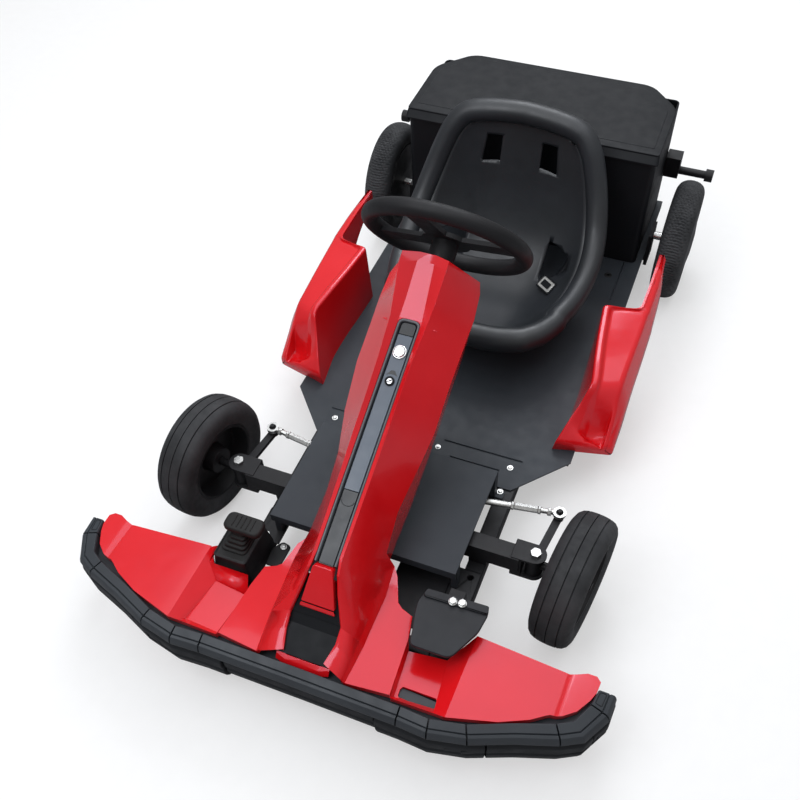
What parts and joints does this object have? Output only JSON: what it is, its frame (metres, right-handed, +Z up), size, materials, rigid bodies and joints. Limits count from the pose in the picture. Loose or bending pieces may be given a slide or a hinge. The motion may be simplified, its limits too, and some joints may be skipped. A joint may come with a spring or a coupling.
{
  "type": "kids electric go-kart",
  "caption": "Child's battery go-kart with low frame and floor pan, red nose and side pods, bucket seat, steered front wheels and hub-motor rear wheels.",
  "frame": {"origin": "on the ground in the middle of the kart's length and width", "axes": "-Y forwards, +X to the kart's left, +Z up"},
  "size_m": [0.988, 1.495, 0.6251],
  "materials": {
    "frame_black": "satin powder coat",
    "pan_black": "fine matt powder coat",
    "red_plastic": "glossy moulded plastic",
    "trim_black": "satin moulded plastic",
    "bumper_black": "matt moulded plastic",
    "dash_grey": "satin",
    "zinc": "bright zinc plated",
    "battery": "plain",
    "rubber": "matt moulded rubber",
    "rim_foam": "soft foam grip",
    "spoke_black": "satin",
    "tyre": "dry rubber",
    "wheel_black": "satin"
  },
  "bodies": {
    "root": {"frame_rails": "frame_black", "frame_cross_tubes": "frame_black", "frame_outriggers": "frame_black", "front_axle_beam": "frame_black", "kingpin_bolts": "zinc", "floor_pan": "pan_black", "linkage_cover": "pan_black", "column_cover": "red_plastic", "nose_grille": "trim_black", "nose_insert": "red_plastic", "dash_strip": "dash_grey", "dash_controls": "zinc", "nose_fairing": "red_plastic", "bumper_upper": "bumper_black", "bumper_lower": "bumper_black", "bumper_stays": "frame_black", "side_pod_left": "red_plastic", "side_pod_right": "red_plastic", "pod_brackets": "frame_black", "seat_shell": "trim_black", "seat_mount": "frame_black", "rear_box": "trim_black", "rear_lid": "trim_black", "battery_block": "battery", "rear_stub_axles": "zinc", "rear_guard": "frame_black", "throttle_base": "trim_black", "throttle_boot": "rubber", "throttle_pad": "rubber", "brake_bracket": "frame_black", "brake_pedal": "frame_black", "column_tube": "frame_black"},
    "steering": {"steering_rim": "rim_foam", "steering_hub": "spoke_black", "steering_shaft": "zinc"},
    "lower_steering": {"lower_shaft": "zinc"},
    "knuckle_left": {"knuckle_left": "zinc"},
    "tie_rod_left": {"tie_rod_left": "zinc"},
    "front_wheel_left": {"front_tyre_left": "tyre", "front_rim_left": "wheel_black"},
    "rear_wheel_left": {"rear_tyre_left": "tyre", "rear_hub_left": "wheel_black"},
    "knuckle_right": {"knuckle_right": "zinc"},
    "tie_rod_right": {"tie_rod_right": "zinc"},
    "front_wheel_right": {"front_tyre_right": "tyre", "front_rim_right": "wheel_black"},
    "rear_wheel_right": {"rear_tyre_right": "tyre", "rear_hub_right": "wheel_black"}
  },
  "joints": [
    {"name": "steering_turn", "type": "hinge", "parent": "root", "child": "steering", "pos_m": [0, -0.02, 0.494], "axis": [0, 0.829, 0.5592], "range_deg": [-18, 46]},
    {"name": "lower_steering_turn", "type": "hinge", "parent": "root", "child": "lower_steering", "pos_m": [0, -0.35996, 0.161], "axis": [0, 0.5, 0.866], "range_deg": [-19, 47]},
    {"name": "knuckle_left_turn", "type": "hinge", "parent": "root", "child": "knuckle_left", "pos_m": [0.296, -0.3725, 0.124], "axis": [0, 0, 1], "range_deg": [-9.43, 24]},
    {"name": "tie_rod_left_swing", "type": "hinge", "parent": "knuckle_left", "child": "tie_rod_left", "pos_m": [0.31004, -0.26441, 0.1355], "axis": [-0.2745, 0, 0.9616], "range_deg": [-27.6, 10.83]},
    {"name": "front_wheel_left_spin", "type": "hinge", "parent": "knuckle_left", "child": "front_wheel_left", "pos_m": [0.37038, -0.38216, 0.124], "axis": [0.9917, -0.1288, 0], "continuous": true},
    {"name": "rear_wheel_left_spin", "type": "hinge", "parent": "root", "child": "rear_wheel_left", "pos_m": [0.3545, 0.5625, 0.1335], "axis": [1, 0, 0], "continuous": true},
    {"name": "knuckle_right_turn", "type": "hinge", "parent": "root", "child": "knuckle_right", "pos_m": [-0.296, -0.3725, 0.124], "axis": [0, 0, 1], "range_deg": [-9.38, 23.89]},
    {"name": "tie_rod_right_swing", "type": "hinge", "parent": "knuckle_right", "child": "tie_rod_right", "pos_m": [-0.28008, -0.26467, 0.1355], "axis": [0.3012, -0.0412, 0.9527], "range_deg": [-27.44, 10.77]},
    {"name": "front_wheel_right_spin", "type": "hinge", "parent": "knuckle_right", "child": "front_wheel_right", "pos_m": [-0.37019, -0.36154, 0.124], "axis": [0.9893, -0.1461, 0], "continuous": true},
    {"name": "rear_wheel_right_spin", "type": "hinge", "parent": "root", "child": "rear_wheel_right", "pos_m": [-0.3545, 0.5625, 0.1335], "axis": [1, 0, 0], "continuous": true}
  ],
  "couplings": [
    {"joint": "lower_steering_turn", "follows": "steering_turn", "ratio": 1},
    {"joint": "knuckle_left_turn", "follows": "steering_turn", "ratio": 0.5206},
    {"joint": "tie_rod_left_swing", "follows": "steering_turn", "ratio": -0.5987},
    {"joint": "knuckle_right_turn", "follows": "steering_turn", "ratio": 0.5182},
    {"joint": "tie_rod_right_swing", "follows": "steering_turn", "ratio": -0.5953}
  ]
}
